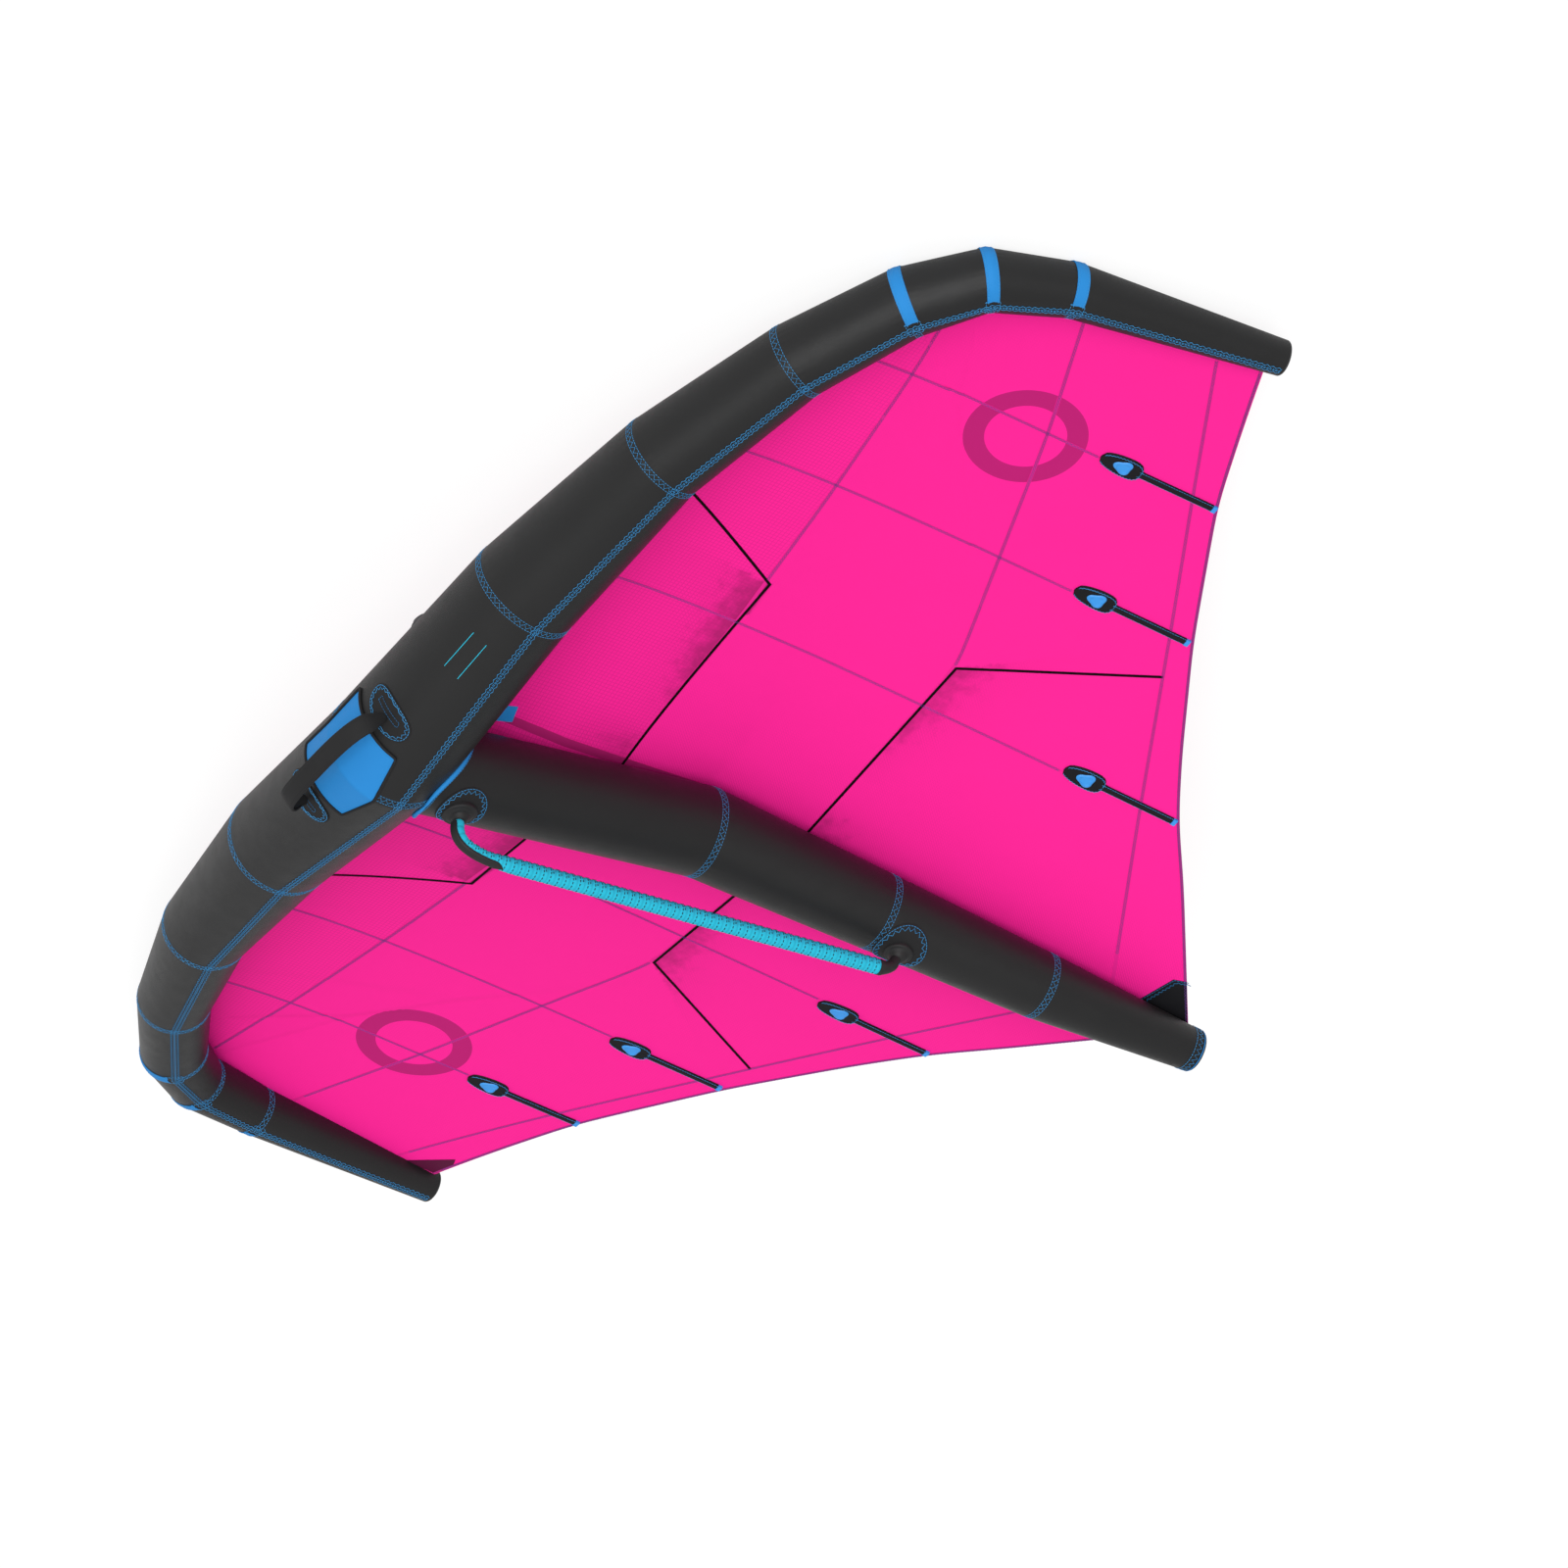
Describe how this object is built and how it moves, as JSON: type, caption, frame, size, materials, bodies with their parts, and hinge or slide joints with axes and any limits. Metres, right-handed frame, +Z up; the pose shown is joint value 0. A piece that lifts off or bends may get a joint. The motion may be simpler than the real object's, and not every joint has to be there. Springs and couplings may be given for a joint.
{
  "type": "inflatable wing foil wing",
  "caption": "Inflatable hand-held wing for wing foiling, with a swept leading edge tube, centre strut, pink canopy with battens, a padded front handle and a long rigid handle under the strut.",
  "frame": {"origin": "centre of the bounding box at ground level, under the wing parked upside down on its two outer leading edge tubes", "axes": "+X across the span towards the wing's right tip, +Y from the nose towards the strut's tail, +Z up, away from the ground and out of the wing's underside"},
  "size_m": [3.1602, 2.0362, 0.5294],
  "materials": {
    "tube_cloth": "satin",
    "canopy_cloth": "satin",
    "bright_cloth": "satin",
    "grip_cloth": "matte",
    "black_webbing": "matte",
    "black_rubber": "matte",
    "bladder_film": "gloss",
    "batten_plastic": "satin",
    "valve_plastic": "satin"
  },
  "bodies": {
    "wing": {"leading_edge_panel_left_1": "tube_cloth", "leading_edge_panel_left_2": "tube_cloth", "leading_edge_panel_left_3": "tube_cloth", "leading_edge_panel_left_4": "tube_cloth", "leading_edge_panel_left_5": "tube_cloth", "leading_edge_panel_left_6": "tube_cloth", "leading_edge_panel_left_7": "tube_cloth", "leading_edge_panel_right_1": "tube_cloth", "leading_edge_panel_right_2": "tube_cloth", "leading_edge_panel_right_3": "tube_cloth", "leading_edge_panel_right_4": "tube_cloth", "leading_edge_panel_right_5": "tube_cloth", "leading_edge_panel_right_6": "tube_cloth", "leading_edge_panel_right_7": "tube_cloth", "leading_edge_bladder": "bladder_film", "tip_cap_left": "tube_cloth", "tip_cap_right": "tube_cloth", "strut_panel_1": "tube_cloth", "strut_panel_2": "tube_cloth", "strut_panel_3": "tube_cloth", "strut_panel_4": "tube_cloth", "strut_bladder": "bladder_film", "strut_tail_cap": "tube_cloth", "junction_piping": "bright_cloth", "bladder_hose": "black_rubber", "canopy_front_left": "canopy_cloth", "canopy_front_right": "canopy_cloth", "canopy_middle_left": "canopy_cloth", "canopy_middle_right": "canopy_cloth", "canopy_rear_left": "canopy_cloth", "canopy_rear_right": "canopy_cloth", "canopy_trailing_left": "canopy_cloth", "canopy_trailing_right": "canopy_cloth", "batten_pocket_left_1": "black_webbing", "batten_pocket_left_2": "black_webbing", "batten_pocket_left_3": "black_webbing", "batten_pocket_right_1": "black_webbing", "batten_pocket_right_2": "black_webbing", "batten_pocket_right_3": "black_webbing", "handle_anchor_patch_left": "black_webbing", "handle_anchor_patch_right": "black_webbing", "window_panel": "bright_cloth", "window_hem": "black_webbing", "front_mount_dome": "black_rubber", "rear_mount_dome": "black_rubber", "front_mount_patch": "black_webbing", "rear_mount_patch": "black_webbing", "inflation_valve": "valve_plastic"},
    "long_handle": {"long_handle_cover": "grip_cloth", "long_handle_core": "black_webbing", "front_spine_strap": "black_webbing", "rear_elbow": "black_rubber"},
    "short_handle": {"short_handle": "black_webbing"},
    "batten_left_1": {"batten_left_1": "batten_plastic"},
    "batten_left_2": {"batten_left_2": "batten_plastic"},
    "batten_left_3": {"batten_left_3": "batten_plastic"},
    "batten_right_1": {"batten_right_1": "batten_plastic"},
    "batten_right_2": {"batten_right_2": "batten_plastic"},
    "batten_right_3": {"batten_right_3": "batten_plastic"},
    "valve_cap": {"valve_cap": "valve_plastic"}
  },
  "joints": [
    {"name": "long_handle_sway", "type": "hinge", "parent": "wing", "child": "long_handle", "pos_m": [0, -0.6835, 0.42933], "axis": [0, 1, -0.0028], "range_deg": [-40, 40], "stiffness_Nm_per_rad": 2},
    {"name": "short_handle_flex", "type": "hinge", "parent": "wing", "child": "short_handle", "pos_m": [0, -0.9442, 0.3891], "axis": [1, 0, 0], "range_deg": [-25, 25], "stiffness_Nm_per_rad": 3},
    {"name": "batten_left_1_slide", "type": "slide", "parent": "wing", "child": "batten_left_1", "axis": [0, 0.9874, 0.1585], "range_m": [0, 0.18]},
    {"name": "batten_left_2_slide", "type": "slide", "parent": "wing", "child": "batten_left_2", "axis": [0, 0.9901, 0.1404], "range_m": [0, 0.18]},
    {"name": "batten_left_3_slide", "type": "slide", "parent": "wing", "child": "batten_left_3", "axis": [0, 0.9919, 0.127], "range_m": [0, 0.18]},
    {"name": "batten_right_1_slide", "type": "slide", "parent": "wing", "child": "batten_right_1", "axis": [0, 0.9874, 0.1585], "range_m": [0, 0.18]},
    {"name": "batten_right_2_slide", "type": "slide", "parent": "wing", "child": "batten_right_2", "axis": [0, 0.9901, 0.1404], "range_m": [0, 0.18]},
    {"name": "batten_right_3_slide", "type": "slide", "parent": "wing", "child": "batten_right_3", "axis": [0, 0.9919, 0.127], "range_m": [0, 0.18]},
    {"name": "valve_cap_lift", "type": "hinge", "parent": "wing", "child": "valve_cap", "pos_m": [-0.19973, -0.89212, 0.18801], "axis": [-0.1826, -0.8325, 0.5231], "range_deg": [0, 120]}
  ]
}
